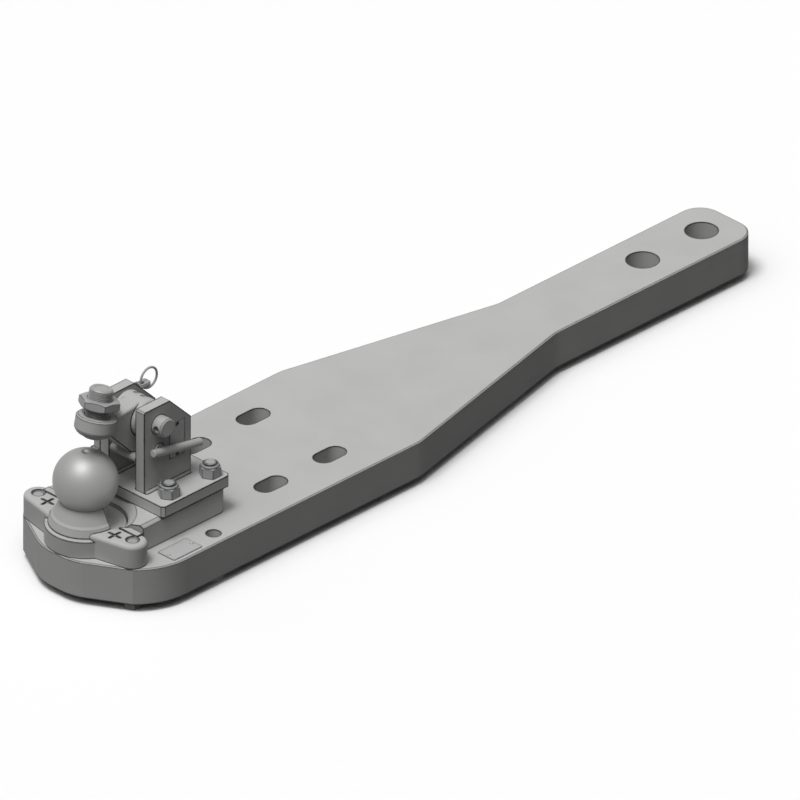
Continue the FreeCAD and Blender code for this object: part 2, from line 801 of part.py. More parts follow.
def cheek(label, inner):
    """Upright side plate, sloped off at the back, bored for the pivot and the lock shaft."""
    body = new_body(label)
    front, back = "-pivot_reach - cheek_ahead", "cheek_length - pivot_reach - cheek_ahead"
    top = "pivot_level + cheek_above"
    profile = outline(sketch_on(body, "XZ_Plane", label + "_profile"), [
        (front, "base_top"),
        (back, "base_top"),
        (back, f"{top} - cheek_slope"),
        (f"{back} - cheek_slope", top),
        (f"{front} + cheek_nick", top),
        (front, f"{top} - cheek_nick"),
    ])
    pad(body, profile, label + "_slab", "cheek_thickness", down=True)
    for name, diameter, level in (
            ("pivot_bore", "pivot_diameter + 2 * running_gap", "pivot_level"),
            ("lock_bore", "lock_diameter + 2 * running_gap", "lock_level")):
        hole = rounds(sketch_on(body, "XZ_Plane", f"{label}_{name}_centre"), diameter,
                      [("-pivot_reach", level)])
        pocket(body, hole, f"{label}_{name}", "cheek_thickness")
    return place(body, y=inner)


def weld_beads():
    """Fillet welds along both feet of each cheek."""
    beads = []
    length = "cheek_length"
    for side, sign in (("right", -1), ("left", 1)):
        for name, foot, lean in (("outer", "cheek_face", 1), ("inner", "cheek_spacing / 2", -1)):
            bead = new_body(f"{side}_{name}_bead")
            corner = f"{sign} * ({foot})"
            reach = f"{corner} + {sign * lean} * weld_leg"
            corners = [(corner, "base_top"), (reach, "base_top"),
                       (corner, "base_top + weld_leg")]
            if sign * lean < 0:
                corners.reverse()
            sketch = outline(sketch_on(bead, "YZ_Plane", f"{side}_{name}_section",
                                       lift="-pivot_reach - cheek_ahead"), corners)
            pad(bead, sketch, f"{side}_{name}_run", length)
            beads.append(bead)
    return group("weld_beads", beads)


def lock_bearing():
    """Square block on the left cheek that lengthens the lock shaft's bearing."""
    body = new_body("lock_bearing")
    slab = pad(body, outline(sketch_on(body, "XZ_Plane", "bearing_outline"), [
        ("-bearing_length / 2", "-bearing_height / 2"),
        ("bearing_length / 2", "-bearing_height / 2"),
        ("bearing_length / 2", "bearing_height / 2"),
        ("-bearing_length / 2", "bearing_height / 2"),
    ]), "bearing_slab", "bearing_thickness", down=True)
    face = value("bearing_thickness")
    dress(body, slab, "Chamfer", "bearing_bevel", "plate_bevel",
          lambda edge, at: near(edge.BoundBox.YMin, face) and near(edge.BoundBox.YMax, face))
    pocket(body, rounds(sketch_on(body, "XZ_Plane", "bearing_bore_centre"),
                        "lock_diameter + 2 * running_gap", [("0", "0")]),
           "bearing_bore", "bearing_thickness")
    return place(body, "-pivot_reach", "cheek_face", "lock_level")


def stop_bar():
    """Round bar between the cheeks that the arm's chin comes down on."""
    bar = cylinder("stop_bar", "stop_diameter", "cheek_spacing")
    bar.Label = "stop_bar"
    return place(bar, "-pivot_reach - stop_ahead", "-cheek_spacing / 2", "stop_level",
                 ALONG_Y, "-90")


def hold_down_arm():
    """Forged lever in its own frame: origin on the pivot, Z along the boss axis."""
    body = new_body("hold_down_arm")
    notch_side = "chin_back"
    lobe_x, lobe_z = "lobe_radius * cos(lobe_start)", "lobe_radius * sin(lobe_start)"
    tip_x, tip_z = "lobe_radius * cos(lobe_end)", "lobe_radius * sin(lobe_end)"
    hub_x, hub_z = "hub_radius * cos(lobe_end)", "hub_radius * sin(lobe_end)"
    web = pad(body, outline(sketch_on(body, "XZ_Plane", "arm_profile"), [
        ("boss_foot_diameter / 2 * 0.8 - arm_reach", "boss_floor + boss_round"),
        ("chin_back - chin_slope", "chin_level"),
        (notch_side, "chin_level"),
        (notch_side, "-lock_down", "in", "notch_radius"),
        (lobe_x, lobe_z, "out", "lobe_radius"),
        (tip_x, tip_z),
        (hub_x, hub_z, "out", "hub_radius"),
        ("hub_radius * cos(100)", "hub_radius * sin(100)"),
        ("boss_diameter / 2 * 0.8 - arm_reach", "boss_top - boss_round"),
    ]), "arm_web", "web_width", middle=True)
    side = value("web_width / 2")
    dress(body, web, "Fillet", "web_top_edges", "arm_edge_round",
          lambda edge, at: near(abs(at.y), side) and at.z > 0 and straight_along(edge))
    hub = pad(body, rounds(sketch_on(body, "XZ_Plane", "hub_circle"), "hub_diameter",
                           [("0", "0")]), "hub", "hub_width", middle=True)
    face = value("hub_width / 2")
    dress(body, hub, "Fillet", "hub_edges", "arm_edge_round",
          lambda edge, at: near(abs(at.y), face))
    for name, side in (("left", 1), ("right", -1)):
        middle = f"hub_groove_offset + {side} * hub_groove_pitch / 2"
        ring = outline(sketch_on(body, "XY_Plane", f"hub_groove_{name}_section"), [
            ("hub_radius - hub_groove_depth", middle),
            ("hub_radius + hub_groove_depth", f"{middle} - hub_groove_width"),
            ("hub_radius + hub_groove_depth", f"{middle} + hub_groove_width"),
        ])
        groove = revolve(body, ring, f"hub_groove_{name}", "Groove")
        bind(groove, Angle="hub_groove_sweep")
        groove.Reversed = True
    eye = rounds(sketch_on(body, "XZ_Plane", "hub_eye_circle"), "hub_eye_diameter",
                 [("0", "0")])
    pad(body, eye, "hub_eye", "hub_eye_width", middle=True)
    boss = [
        ("0", "boss_floor"),
        ("boss_foot_diameter / 2", "boss_floor", "out", "boss_belly_radius"),
        ("boss_diameter / 2", "boss_top - boss_side"),
        ("boss_diameter / 2", "boss_top - boss_round"),
        ("boss_diameter / 2 - boss_round", "boss_top"),
        ("0", "boss_top"),
    ]
    revolve(body, outline(sketch_on(body, "XZ_Plane", "boss_profile", "-arm_reach"), boss),
            "arm_boss")
    pocket(body, rounds(sketch_on(body, "XZ_Plane", "arm_bore_circle"),
                        "pivot_diameter + 2 * running_gap", [("0", "0")]),
           "arm_bore", "hub_eye_width * 2", middle=True)
    pocket(body, rounds(sketch_on(body, "XY_Plane", "screw_bore_circle", "-arm_reach"),
                        "screw_diameter + 2 * thread_gap", [("0", "0")]),
           "screw_bore", "boss_diameter * 2", middle=True)
    return place(body, "-pivot_reach", "0", "pivot_level", V(0, 1, 0), "arm_tilt")


def along_boss(thing, lift="0"):
    """Stand a piece on the boss axis, lifted from the point of the axis nearest the pivot."""
    return place(thing, f"-pivot_reach - arm_reach * cos(arm_tilt) + ({lift}) * sin(arm_tilt)",
                 "0", f"pivot_level + arm_reach * sin(arm_tilt) + ({lift}) * cos(arm_tilt)",
                 V(0, 1, 0), "arm_tilt")


def pressure_screw():
    """Plain-topped screw that presses the coupling down on the ball."""
    radius = "screw_diameter / 2"
    return along_boss(turned("pressure_screw", [
        ("0", "-screw_below"),
        (f"{radius} - screw_foot", "-screw_below", "out", "screw_foot"),
        (radius, "-screw_below + screw_foot"),
        (radius, "screw_above - screw_chamfer"),
        (f"{radius} - screw_chamfer", "screw_above"),
        ("0", "screw_above"),
    ]))


def jam_nut():
    """Nut backed off from the boss; run down on it, it locks the pressure screw."""
    prism = hexagon("jam_hexagon", "jam_flats", "jam_height")
    crown = doc.addObject("Part::Cone", "jam_crown")
    corner = "jam_flats / 2 / cos(30)"
    bind(crown, Radius1=f"{corner} - jam_corner + jam_height * 2",
         Radius2=f"{corner} - jam_corner", Height="jam_height")
    trimmed = doc.addObject("Part::Common", "jam_trimmed")
    trimmed.Base, trimmed.Tool = prism, crown
    bore = cylinder("jam_bore", "screw_diameter + 2 * thread_gap", "jam_height")
    return along_boss(cut("jam_nut", trimmed, bore), "boss_top + jam_lift")


def pivot_pin():
    """Pin through both cheeks, cross-drilled near each end."""
    half, radius = "pin_half", "pivot_diameter / 2"
    body = turned("pivot_pin", [
        ("0", f"-{half}"),
        (f"{radius} - pivot_chamfer", f"-{half}"),
        (radius, f"pivot_chamfer - {half}"),
        (radius, f"{half} - pivot_chamfer"),
        (f"{radius} - pivot_chamfer", half),
        ("0", half),
    ])
    holes = sketch_on(body, "YZ_Plane", "cross_hole_centres")
    pocket(body, rounds(holes, "linch_diameter + 2 * running_gap",
                        [("0", f"{side} * linch_offset") for side in (-1, 1)]),
           "cross_holes", "pivot_diameter * 2", middle=True)
    return place(body, "-pivot_reach", "0", "pivot_level", ALONG_Y, "-90")


def linch_pin():
    """Pin with a tapered tip and a head flattened into an ear for its ring."""
    radius, head = "linch_diameter / 2", "linch_head_diameter / 2"
    body = turned("linch_pin", [
        ("0", "-linch_tip_ahead"),
        (f"{radius} - 2", "-linch_tip_ahead"),
        (radius, "5 - linch_tip_ahead"),
        (radius, "linch_shoulder"),
        (head, "linch_shoulder"),
        (head, "linch_shoulder + linch_head_length - 2", "out", "2"),
        (f"{head} - 2", "linch_shoulder + linch_head_length"),
        ("0", "linch_shoulder + linch_head_length"),
    ])
    start, finish = "linch_shoulder + 3", "linch_shoulder + linch_head_length + 1"
    for name, left, right in (
            ("lower", "-linch_head_diameter", "-linch_ear_thickness / 2"),
            ("upper", "linch_ear_thickness / 2", "linch_head_diameter")):
        side = outline(sketch_on(body, "XZ_Plane", f"ear_{name}_outline"),
                       [(left, start), (right, start), (right, finish), (left, finish)])
        pocket(body, side, f"ear_{name}_side", "linch_head_diameter * 2", middle=True)
    pocket(body, rounds(sketch_on(body, "YZ_Plane", "ring_hole_circle"), "ring_hole_diameter",
                        [("0", "ring_hole_back")]),
           "ring_hole", "linch_head_diameter * 2", middle=True)
    return place(body, "-pivot_reach", "linch_offset", "pivot_level", V(0, 1, 0), "90")


def pull_ring():
    """Wire ring hanging through the ear of the linch pin."""
    ring = doc.addObject("Part::Torus", "pull_ring")
    ring.Label = "pull_ring"
    bind(ring, Radius1="ring_diameter / 2", Radius2="ring_wire / 2")
    return place(ring, "ring_hole_back - pivot_reach + ring_diameter / 2 * cos(ring_lean)",
                 "linch_offset", "pivot_level + ring_diameter / 2 * sin(ring_lean)",
                 ALONG_Y, "-90")


def lock_shaft():
    """Shaft through both cheeks, milled to a half moon under the arm, saddled for its handle."""
    radius = "lock_diameter / 2"
    clip_at = "bearing_face + seat_gap"
    body = turned("lock_shaft_blank", [
        ("0", "-cheek_face - shaft_proud"),
        (radius, "-cheek_face - shaft_proud"),
        (radius, clip_at),
        ("circlip_groove / 2", clip_at),
        ("circlip_groove / 2", f"{clip_at} + circlip_thickness"),
        (radius, f"{clip_at} + circlip_thickness"),
        (radius, "shaft_end"),
        ("0", "shaft_end"),
    ])
    flat = outline(sketch_on(body, "XZ_Plane", "half_moon_outline"), [
        (f"-{radius} - 1", "-lock_half_moon / 2"),
        (f"{radius} + 1", "-lock_half_moon / 2"),
        (f"{radius} + 1", "lock_half_moon / 2"),
        (f"-{radius} - 1", "lock_half_moon / 2"),
    ])
    pocket(body, flat, "half_moon", "lock_diameter", up=True)
    place(body, "-pivot_reach", "0", "lock_level", ALONG_Y, "-90")
    saddle = cylinder("handle_saddle", "handle_diameter + 2 * thread_gap", "handle_length")
    along_handle(saddle, "-handle_length / 2")
    return cut("lock_shaft", body, saddle)


def along_handle(thing, start="0"):
    """Lay a Z axis along the handle, beginning at a distance from the lock shaft."""
    lean = "90 + handle_slope"
    return place(thing, f"({start}) * sin({lean}) - pivot_reach", "-handle_centre",
                 f"lock_level + ({start}) * cos({lean})", V(0, 1, 0), lean)


def lock_circlip():
    """Open ring in the shaft's groove outside the bearing."""
    outer = cylinder("circlip_outer", "circlip_diameter", "circlip_thickness")
    inner = cylinder("circlip_inner", "circlip_groove", "circlip_thickness")
    gap = box("circlip_gap", "circlip_diameter", "circlip_groove / 3", "circlip_thickness")
    place(gap, "0", "-circlip_groove / 6", "0")
    clip = cut("lock_circlip", outer, fuse("circlip_hollow", inner, gap))
    return place(clip, "-pivot_reach", "bearing_face + seat_gap", "lock_level", ALONG_Y, "-90")


def lock_handle():
    """Round rod across the end of the lock shaft, with one long and one short arm."""
    radius, end = "handle_diameter / 2", "handle_end_round"
    body = turned("lock_handle", [
        ("0", "-handle_short_end"),
        (f"{radius} - {end}", "-handle_short_end", "out", end),
        (radius, f"{end} - handle_short_end"),
        (radius, f"handle_length - handle_short_end - {end}", "out", end),
        (f"{radius} - {end}", "handle_length - handle_short_end"),
        ("0", "handle_length - handle_short_end"),
    ])
    return along_handle(body)


def detent_plate():
    """Thin plate on the right cheek that the lock handle swings over."""
    body = new_body("detent_plate")
    front, floor = "-pivot_reach - detent_ahead", "pivot_level - detent_drop"
    slab = pad(body, outline(sketch_on(body, "XZ_Plane", "detent_outline"), [
        (front, floor),
        (f"{front} + detent_length", floor),
        (f"{front} + detent_length", f"{floor} + detent_height"),
        (front, f"{floor} + detent_height"),
    ]), "detent_slab", "detent_thickness")
    pocket(body, rounds(sketch_on(body, "XZ_Plane", "detent_screw_centres"),
                        "detent_screw_head", DETENT_SCREWS),
           "detent_screw_holes", "detent_thickness", up=True)
    return place(body, y="-cheek_face")


DETENT_SCREWS = [
    ("-pivot_reach - detent_ahead + detent_length / 2", height) for height in (
        "pivot_level - detent_drop + detent_height - detent_hole_inset",
        "pivot_level - detent_drop + detent_hole_inset")]


def detent_screws():
    """Two flat-headed screws, flush with the detent plate."""
    screws = []
    for count, (x, z) in enumerate(DETENT_SCREWS, start=1):
        screw = cylinder(f"detent_screw_{count}", "detent_screw_head - 2 * thread_gap",
                         "detent_thickness")
        screws.append(place(screw, x, "-cheek_face - detent_thickness", z, ALONG_Y, "-90"))
    return group("detent_screws", screws)


def type_plate():
    """Thin bare plate beside the flange."""
    body = new_body("type_plate")
    slab = pad(body, outline(sketch_on(body, "XY_Plane", "label_outline"), [
        ("-label_length / 2", "-label_width / 2"),
        ("label_length / 2", "-label_width / 2"),
        ("label_length / 2", "label_width / 2"),
        ("-label_length / 2", "label_width / 2"),
    ]), "label_slab", "label_thickness")
    dress(body, slab, "Fillet", "label_corners", "label_thickness * 2",
          lambda edge, at: near(edge.BoundBox.XLength, 0) and near(edge.BoundBox.YLength, 0))
    return place(body, "-label_reach", "-label_offset", "plate_thickness")


def type_plate_pins():
    """Two round-headed drive pins that hold the type plate."""
    pins = []
    for name, sign in (("front", -1), ("back", 1)):
        pin = doc.addObject("Part::Cone", f"label_pin_{name}")
        bind(pin, Radius1="label_pin_diameter / 2", Radius2="label_pin_diameter / 4",
             Height="label_pin_height")
        pins.append(place(pin, f"{sign} * (label_length / 2 - label_pin_inset) - label_reach",
                          "-label_offset", "label_top"))
    return group("type_plate_pins", pins)


def build():
    return [
        drawbar_plate(), ball_flange(), flange_bolts(), spacer_block(), base_plate(),
        base_bolts(), base_nuts(), nut_inserts(), cheek("right_cheek", "-cheek_face"),
        cheek("left_cheek", "cheek_spacing / 2"), weld_beads(), lock_bearing(), stop_bar(),
        hold_down_arm(), pressure_screw(), jam_nut(), pivot_pin(), linch_pin(), pull_ring(),
        lock_shaft(), lock_circlip(), lock_handle(), detent_plate(), detent_screws(),
        type_plate(), type_plate_pins(),
    ]


def check(pieces):
    """Stop if anything failed to build."""
    for thing in doc.Objects:
        if "Invalid" in thing.State or "Error" in thing.State:
            raise RuntimeError(f"{thing.Label} did not build: {thing.State}")
    for piece in pieces:
        if piece.Shape.isNull() or not piece.Shape.isValid() or piece.Shape.Volume <= 0:
            raise RuntimeError(f"{piece.Label} has no sound shape")


pieces = build()
doc.recompute()
check(pieces)
os.makedirs("parts", exist_ok=True)
for piece in pieces:
    piece.Shape.exportStep(f"parts/{piece.Label}.step")
    bounds = piece.Shape.BoundBox
    print(f"{piece.Label}: {len(piece.Shape.Solids)} solids, {piece.Shape.Volume:.0f} mm3, "
          f"X {bounds.XMin:.1f}..{bounds.XMax:.1f} Y {bounds.YMin:.1f}..{bounds.YMax:.1f} "
          f"Z {bounds.ZMin:.1f}..{bounds.ZMax:.1f}")
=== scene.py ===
# %% [markdown]
# # Hitch mounting plate
# A thick drawbar plate carries a coupling ball on a bolted flange and, behind it, a clamp that
# swings down on the coupling. The CAD frame already has every piece at its real size, so this
# lesson adds what CAD leaves out: threads, turned nut corners, weld ripples and real finishes.

# %% Frame and tools
import math
import bpy
import numpy as np
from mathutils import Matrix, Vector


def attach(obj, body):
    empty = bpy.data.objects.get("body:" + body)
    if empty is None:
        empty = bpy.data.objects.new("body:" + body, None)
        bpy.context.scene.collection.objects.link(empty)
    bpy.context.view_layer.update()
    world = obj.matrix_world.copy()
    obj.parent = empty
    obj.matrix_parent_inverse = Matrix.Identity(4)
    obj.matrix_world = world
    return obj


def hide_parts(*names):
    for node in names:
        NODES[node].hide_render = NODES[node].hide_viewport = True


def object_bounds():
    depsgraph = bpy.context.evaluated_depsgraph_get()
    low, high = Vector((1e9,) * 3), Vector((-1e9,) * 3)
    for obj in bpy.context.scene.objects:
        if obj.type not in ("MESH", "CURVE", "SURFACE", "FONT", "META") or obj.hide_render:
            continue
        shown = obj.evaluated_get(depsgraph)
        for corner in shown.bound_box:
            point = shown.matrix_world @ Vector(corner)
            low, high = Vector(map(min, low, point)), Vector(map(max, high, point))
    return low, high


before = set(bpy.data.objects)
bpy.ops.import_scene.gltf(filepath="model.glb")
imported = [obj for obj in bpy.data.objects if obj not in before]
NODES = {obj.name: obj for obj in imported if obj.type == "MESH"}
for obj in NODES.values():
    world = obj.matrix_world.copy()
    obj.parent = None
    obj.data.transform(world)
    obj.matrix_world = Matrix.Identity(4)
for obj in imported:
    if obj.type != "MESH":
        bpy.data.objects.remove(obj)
CAD_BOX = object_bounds()
TAU = 2 * math.pi
print("nodes:", len(NODES))

# %% [markdown]
# ## The camera
# The picture is a parallel view from 45 degrees round and 30 degrees up. A long lens far away
# comes close to that, but an orthographic camera is exact, and its scale is simply the width of
# the frame in metres.

# %% Camera
FRAME_WIDTH = 0.9615
TARGET = np.array([0.2027, -0.0319, 0.050])
CAMERA_DISTANCE = 3
CAMERA_TILT, CAMERA_TURN = math.radians(60), math.radians(-45)
toward_camera = np.array([-0.6124, -0.6124, 0.5])
toward_camera /= np.linalg.norm(toward_camera)
camera_data = bpy.data.cameras.new("picture_camera")
camera_data.type = "ORTHO"
camera_data.ortho_scale = FRAME_WIDTH
camera = bpy.data.objects.new("picture_camera", camera_data)
bpy.context.scene.collection.objects.link(camera)
camera.location = TARGET + toward_camera * CAMERA_DISTANCE
camera.rotation_euler = (CAMERA_TILT, 0, CAMERA_TURN)
bpy.context.scene.camera = camera
print("frame width m:", FRAME_WIDTH)

# %% [markdown]
# ## Colours and nodes
# A colour is written as the hex value that a screen shows, and a shader needs it linear. One
# small function adds a node with its settings and links, so that each finish further down reads
# as a list of what feeds what.

# %% Helpers for shaders


def linear(hex_colour):
    """An sRGB hex colour as the linear values that shaders expect, with alpha 1."""
    srgb = np.array([int(hex_colour[i:i + 2], 16) for i in (1, 3, 5)]) / 255
    low, high = srgb / 12.92, ((srgb + 0.055) / 1.055) ** 2.4
    return (*np.where(srgb <= 0.04045, low, high), 1.0)


def node(tree, kind, links=(), **settings):
    """Add a shader node: settings by name, inputs as in_0 or in_Scale, links as (input, socket).

    A text that starts with # is a colour."""
    made = tree.nodes.new(kind)
    for name, value in settings.items():
        if isinstance(value, str) and value.startswith("#"):
            value = linear(value)
        if name.startswith("in_"):
            key = name[3:]
            made.inputs[int(key) if key.isdigit() else key].default_value = value
        else:
            setattr(made, name, value)
    for key, socket in links:
        tree.links.new(socket, made.inputs[key])
    return made


def new_material(name):
    """A material with a principled shader, and its node tree."""
    material = bpy.data.materials.new(name)
    material.use_nodes = True
    tree = material.node_tree
    return material, tree, tree.nodes["Principled BSDF"]


def background_rays(tree):
    """1 for the rays that show a background: from the camera, and those that metal reflects."""
    path = node(tree, "ShaderNodeLightPath")
    both = node(tree, "ShaderNodeMath", [(0, path.outputs["Is Camera Ray"]),
                                         (1, path.outputs["Is Glossy Ray"])], operation="MAXIMUM")
    return node(tree, "ShaderNodeMath", [(0, both.outputs[0]),
                                         (1, path.outputs["Is Transmission Ray"])],
                operation="MAXIMUM").outputs[0]


print("screen grey #808080 in linear:", round(float(linear("#808080")[0]), 4))

# %% [markdown]
# ## The floor
# The picture shows only white round the object, but a real plate lies on something and throws a
# shadow. This floor is white where it is seen or reflected, and dark for all other rays, so it
# bounces little light up, which keeps the dark sides dark.

# %% Floor
FLOOR_LEVEL = CAD_BOX[0][2]
FLOOR_REACH = 14.0
floor_mesh = bpy.data.meshes.new("studio_floor")
floor_mesh.from_pydata([(FLOOR_REACH * x, FLOOR_REACH * y, FLOOR_LEVEL)
                        for x, y in ((-1, -1), (1, -1), (1, 1), (-1, 1))], [], [(0, 1, 2, 3)])
floor = bpy.data.objects.new("studio_floor", floor_mesh)
bpy.context.scene.collection.objects.link(floor)
floor_paint, tree, shader = new_material("pale_studio_floor")
tint = node(tree, "ShaderNodeMix", [("Factor", background_rays(tree))], data_type="RGBA",
            in_6="#242424", in_7="#FAFAFA")
tree.links.new(tint.outputs[2], shader.inputs["Base Color"])
shader.inputs["Roughness"].default_value = 0.9
floor_mesh.materials.append(floor_paint)
print("floor level m:", round(FLOOR_LEVEL, 4))

# %% [markdown]
# ## The sky
# An even white sky would light every side alike. In the picture tops are light and sides dark, so
# this sky glows only round the zenith, leaning a little to the ball's end, and is black lower
# down. The rays that show a background see plain white instead.

# %% Sky
SKY_TOP = (-0.20, 0.05, 0.98)
SKY_GLOW = 0.50
world = bpy.data.worlds.new("studio_sky")
bpy.context.scene.world = world
world.use_nodes = True
sky = world.node_tree
sky.nodes.clear()
way = node(sky, "ShaderNodeTexCoord")
lean = node(sky, "ShaderNodeVectorMath", [(0, way.outputs["Generated"])],
            operation="DOT_PRODUCT", in_1=SKY_TOP)
grade = node(sky, "ShaderNodeMapRange", [("Value", lean.outputs["Value"])],
             in_1=0.4, in_2=1.0, in_3=0.0, in_4=SKY_GLOW)
strength = node(sky, "ShaderNodeMix", [(0, background_rays(sky)), (2, grade.outputs[0])],
                in_3=1.0)
light = node(sky, "ShaderNodeBackground", [("Strength", strength.outputs[0])],
             in_0=(1, 1, 1, 1))
node(sky, "ShaderNodeOutputWorld", [("Surface", light.outputs[0])])
print("sky glow:", SKY_GLOW)

# %% [markdown]
# ## Two suns
# Tops are light, faces toward the ball's end are middle grey and the right sides are dark, so the
# suns stand nearly overhead and lean to the ball's end. A broad one gives soft shade. A smaller
# one from the same side gives the ball its gloss.

# %% Suns
SUNS = (("broad_sun", 1.00, 60), ("small_sun", 1.65, 20))
SUN_LEAN, SUN_TURN = math.radians(-20), math.radians(7)
for name, power, spread in SUNS:
    sun_data = bpy.data.lights.new(name, "SUN")
    sun_data.energy = power
    sun_data.angle = math.radians(spread)
    sun = bpy.data.objects.new(name, sun_data)
    bpy.context.scene.collection.objects.link(sun)
    sun.rotation_euler = (0, SUN_LEAN, SUN_TURN)
    print(name, "power", power, "spread", spread)

# %% [markdown]
# ## How the finishes are made
# Every finish reads Object coordinates, which are metres in the CAD frame here, so a pattern's
# size is real. A bevel node rounds each edge by under a millimetre for the light. Where a wider
# one bends away from the true face, an edge or crease is near: there the edge colour is painted
# as a thin dark line, which in creases is painted shade.

# %% Shared parts of the finishes
CLOUD_SIZE, SPOT_SIZE = 0.06, 0.006
EDGE_BEGINS, EDGE_FULL = 0.008, 0.05


def edge_mask(tree, radius, width):
    """The normal rounded by radius, and a mask that is 1 along edges and 0 on open faces.

    Mask = how far the normal of a bevel as wide as width leans from the true one."""
    soft = node(tree, "ShaderNodeBevel", samples=4, in_Radius=radius)
    wide = node(tree, "ShaderNodeBevel", samples=8, in_Radius=width)
    true = node(tree, "ShaderNodeNewGeometry")
    same = node(tree, "ShaderNodeVectorMath", [(0, wide.outputs[0]), (1, true.outputs["Normal"])],
                operation="DOT_PRODUCT")
    mask = node(tree, "ShaderNodeMapRange", [("Value", same.outputs["Value"])],
                in_1=1 - EDGE_BEGINS, in_2=1 - EDGE_FULL, in_3=0.0, in_4=1.0)
    return soft.outputs[0], mask.outputs[0]


def finish(name, clean, dull, edge, rough, metal=0.0, grit=0.0006, relief=0.00004,
           bevel=0.0007, line=0.0026, stretch=(1, 1, 1), level=0.5):
    """A finish: cloudy colour, grit in gloss and relief, and a changed colour along edges.

    Grit is the size of the finest grain and relief its height, bevel the radius of the rounded
    edges and line the reach of the dark lines beside them, all in metres."""
    material, tree, shader = new_material(name)
    place = node(tree, "ShaderNodeTexCoord").outputs["Object"]
    drawn = node(tree, "ShaderNodeMapping", [("Vector", place)], in_Scale=stretch).outputs[0]
    fine, clouds, spots = (
        node(tree, "ShaderNodeTexNoise", [("Vector", where)], in_Scale=1 / size,
             in_Detail=detail).outputs["Fac"]
        for where, size, detail in ((drawn, grit, 3), (place, CLOUD_SIZE, 4),
                                    (place, SPOT_SIZE, 5)))
    gloss, share, spotty = (
        node(tree, "ShaderNodeMapRange", [("Value", pattern)], in_1=0.35, in_2=0.65,
             in_3=low, in_4=high).outputs[0]
        for pattern, low, high in ((fine, rough - 0.06, rough + 0.06), (clouds, 0.0, 1.0),
                                   (spots, 0.85, 1.0)))
    soft, edges = edge_mask(tree, bevel, line)
    # Painted edge line: the edge colour laid along every edge and into every crease, where it is
    # painted shade.
    painted_edge_line = node(tree, "ShaderNodeMath", [(0, edges), (1, spotty)], operation="MULTIPLY")
    cloudy = node(tree, "ShaderNodeMix", [("Factor", share)], data_type="RGBA", in_6=clean,
                  in_7=dull)
    edged = node(tree, "ShaderNodeMix", [("Factor", painted_edge_line.outputs[0]), (6, cloudy.outputs[2])],
                 data_type="RGBA", in_7=edge)
    bump = node(tree, "ShaderNodeBump", [("Height", fine), ("Normal", soft)], in_Strength=0.6,
                in_Distance=relief)
    tree.links.new(edged.outputs[2], shader.inputs["Base Color"])
    tree.links.new(gloss, shader.inputs["Roughness"])
    tree.links.new(bump.outputs[0], shader.inputs["Normal"])
    shader.inputs["Metallic"].default_value = metal
    shader.inputs["Specular IOR Level"].default_value = level
    return material, tree, shader


def coat(material, *names):
    """Give the CAD nodes of these names a finish."""
    for name in names:
        mesh = NODES[name].data
        mesh.materials.clear()
        mesh.materials.append(material)
    print(material.name, "on", len(names), "nodes")


# %% [markdown]
# ## Grey enamel
# The plates are blasted and sprayed with matt grey enamel, which gives the eye an even grey with
# a slight orange peel of about 1 mm. The forged arm has the same enamel over a drop-forged skin,
# so its grain is coarser and its edges are softer.

# %% Enamel on plate and on forgings
# Each edge colour here is the painted dark line along edges, painted shade in creases.
FORGED_SKIN = {"clean": "#B6B6B5", "dull": "#B1B1B0", "edge": "#1A1A19", "rough": 0.52,
               "grit": 0.0016, "relief": 0.00006, "bevel": 0.0009, "line": 0.0034}
enamel = finish("matt_grey_enamel", "#B9B9B8", "#B5B5B4", "#171716", 0.58, grit=0.0011,
                relief=0.00003, bevel=0.0006, line=0.0032, level=0.04)[0]
coat(enamel, "drawbar_plate", "spacer_block", "base_plate", "right_cheek", "left_cheek",
     "lock_bearing", "stop_bar", "weld_beads")
forged = finish("enamel_on_forging", level=0.07, **FORGED_SKIN)[0]
coat(forged, "hold_down_arm")

# %% [markdown]
# ## The ball
# The ball and its flange are one forging. The ball itself is turned bare after the forging is
# painted, so within its radius of the ball's centre the same finish becomes smooth metal with the
# broad shine of a film of grease. A distance in the shader needs no second piece for that.

# %% Forging with its turned ball
BALL_CENTRE = (-0.3, 0, 0.131)
BALL_REACH = 0.0402
ball_forging, tree, shader = finish("forging_with_turned_ball", level=0.10, **FORGED_SKIN)
place = node(tree, "ShaderNodeTexCoord").outputs["Object"]
apart = node(tree, "ShaderNodeVectorMath", [(0, place)], operation="DISTANCE",
             in_1=BALL_CENTRE).outputs["Value"]
on_ball = node(tree, "ShaderNodeMath", [(0, apart)], operation="LESS_THAN",
               in_1=BALL_REACH).outputs[0]
painted = shader.inputs["Base Color"].links[0].from_socket
bared = node(tree, "ShaderNodeMix", [("Factor", on_ball), (6, painted)], data_type="RGBA",
             in_7="#A0A09F")
gritty = shader.inputs["Roughness"].links[0].from_socket
smooth = node(tree, "ShaderNodeMix", [(0, on_ball), (2, gritty)], in_3=0.52)
metal, relief = (node(tree, "ShaderNodeMapRange", [("Value", on_ball)], in_1=0, in_2=1,
                      in_3=off, in_4=on).outputs[0] for off, on in ((0, 0.55), (0.6, 0.02)))
bump = shader.inputs["Normal"].links[0].from_node
tree.links.new(bared.outputs[2], shader.inputs["Base Color"])
tree.links.new(smooth.outputs[0], shader.inputs["Roughness"])
tree.links.new(metal, shader.inputs["Metallic"])
tree.links.new(relief, bump.inputs["Strength"])
coat(ball_forging, "ball_flange")
